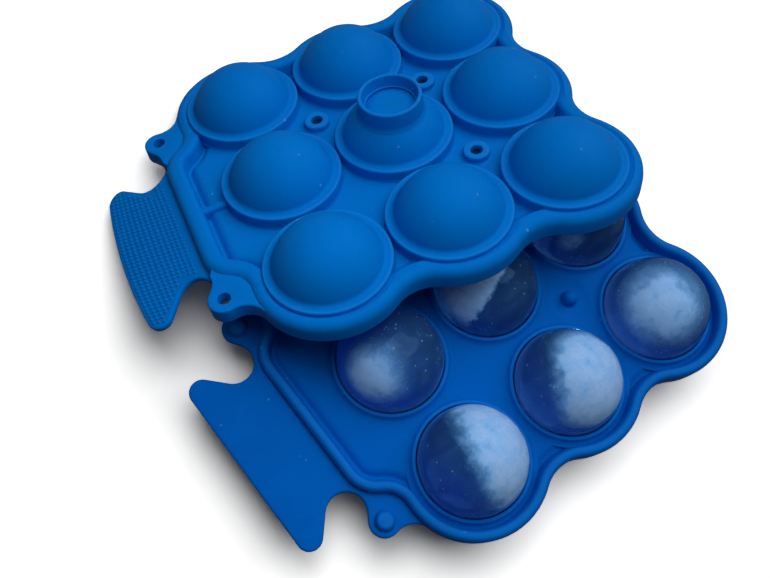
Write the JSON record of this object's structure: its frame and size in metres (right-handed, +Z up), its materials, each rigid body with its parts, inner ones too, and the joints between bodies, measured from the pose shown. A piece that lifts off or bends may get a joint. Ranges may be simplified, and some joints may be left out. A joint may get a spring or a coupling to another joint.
{
  "type": "ice ball mold",
  "caption": "Scalloped silicone mold for round ice: a tray of half-ball cups with balls of ice in it, and a domed lid leaning on its back edge; both halves have a fish-tail grip tab.",
  "frame": {"origin": "on the floor under the middle of the centre cup of the base", "axes": "+X away from the base's grip tab along the rows of cups, +Y towards the lid, +Z up"},
  "size_m": [0.1946, 0.2107, 0.065],
  "materials": {
    "silicone": "satin",
    "ice": "gloss"
  },
  "bodies": {
    "base": {"base_tray_1": "silicone", "base_tray_2": "silicone", "base_tray_3": "silicone", "base_tray_4": "silicone", "base_rim_side": "silicone", "base_rim_front": "silicone", "base_rim_end": "silicone", "base_rim_back": "silicone", "cup_a1": "silicone", "cup_b1": "silicone", "cup_c1": "silicone", "cup_a2": "silicone", "cup_b2": "silicone", "cup_c2": "silicone", "cup_a3": "silicone", "cup_b3": "silicone", "cup_c3": "silicone", "base_ear_back": "silicone", "base_ear_front": "silicone", "base_peg_back": "silicone", "base_peg_front": "silicone", "base_pin_1": "silicone", "base_pin_2": "silicone", "base_pin_3": "silicone"},
    "base_tail": {"base_tail": "silicone"},
    "lid": {"lid_plate_1": "silicone", "lid_plate_2": "silicone", "lid_plate_3": "silicone", "lid_plate_4": "silicone", "lid_rim_side": "silicone", "lid_rim_front": "silicone", "lid_rim_end": "silicone", "lid_rim_back": "silicone", "dome_a1": "silicone", "dome_b1": "silicone", "dome_c1": "silicone", "dome_a2": "silicone", "dome_b2": "silicone", "dome_c2": "silicone", "dome_a3": "silicone", "dome_b3": "silicone", "dome_c3": "silicone", "lid_ear_back": "silicone", "lid_ear_front": "silicone", "lid_boss_1": "silicone", "lid_boss_2": "silicone", "lid_boss_3": "silicone", "lid_collar": "silicone", "lid_rib": "silicone"},
    "lid_tail": {"lid_tail": "silicone"},
    "ice_a2": {"ice_a2": "ice"},
    "ice_b2": {"ice_b2": "ice"},
    "ice_c2": {"ice_c2": "ice"},
    "ice_a3": {"ice_a3": "ice"},
    "ice_b3": {"ice_b3": "ice"},
    "ice_c3": {"ice_c3": "ice"}
  },
  "joints": [
    {"name": "base_tail_bend", "type": "hinge", "parent": "base", "child": "base_tail", "pos_m": [-0.0835, 0, 0.0177], "axis": [0, 1, 0], "range_deg": [-30, 60], "stiffness_Nm_per_rad": 0.05},
    {"name": "lid_lift", "type": "slide", "parent": "base", "child": "lid", "axis": [0, 0, 1], "range_m": [0, 0.06]},
    {"name": "lid_tail_bend", "type": "hinge", "parent": "lid", "child": "lid_tail", "pos_m": [-0.07402, 0.08201, 0.02448], "axis": [0.2368, 0.9088, -0.3434], "range_deg": [-10, 50], "stiffness_Nm_per_rad": 0.05},
    {"name": "ice_a2_lift", "type": "slide", "parent": "base", "child": "ice_a2", "axis": [0, 0, 1], "range_m": [0, 0.008]},
    {"name": "ice_b2_lift", "type": "slide", "parent": "base", "child": "ice_b2", "axis": [0, 0, 1], "range_m": [0, 0.008]},
    {"name": "ice_c2_lift", "type": "slide", "parent": "base", "child": "ice_c2", "axis": [0, 0, 1], "range_m": [0, 0.008]},
    {"name": "ice_a3_lift", "type": "slide", "parent": "base", "child": "ice_a3", "axis": [0, 0, 1], "range_m": [0, 0.06]},
    {"name": "ice_b3_lift", "type": "slide", "parent": "base", "child": "ice_b3", "axis": [0, 0, 1], "range_m": [0, 0.06]},
    {"name": "ice_c3_lift", "type": "slide", "parent": "base", "child": "ice_c3", "axis": [0, 0, 1], "range_m": [0, 0.06]}
  ]
}
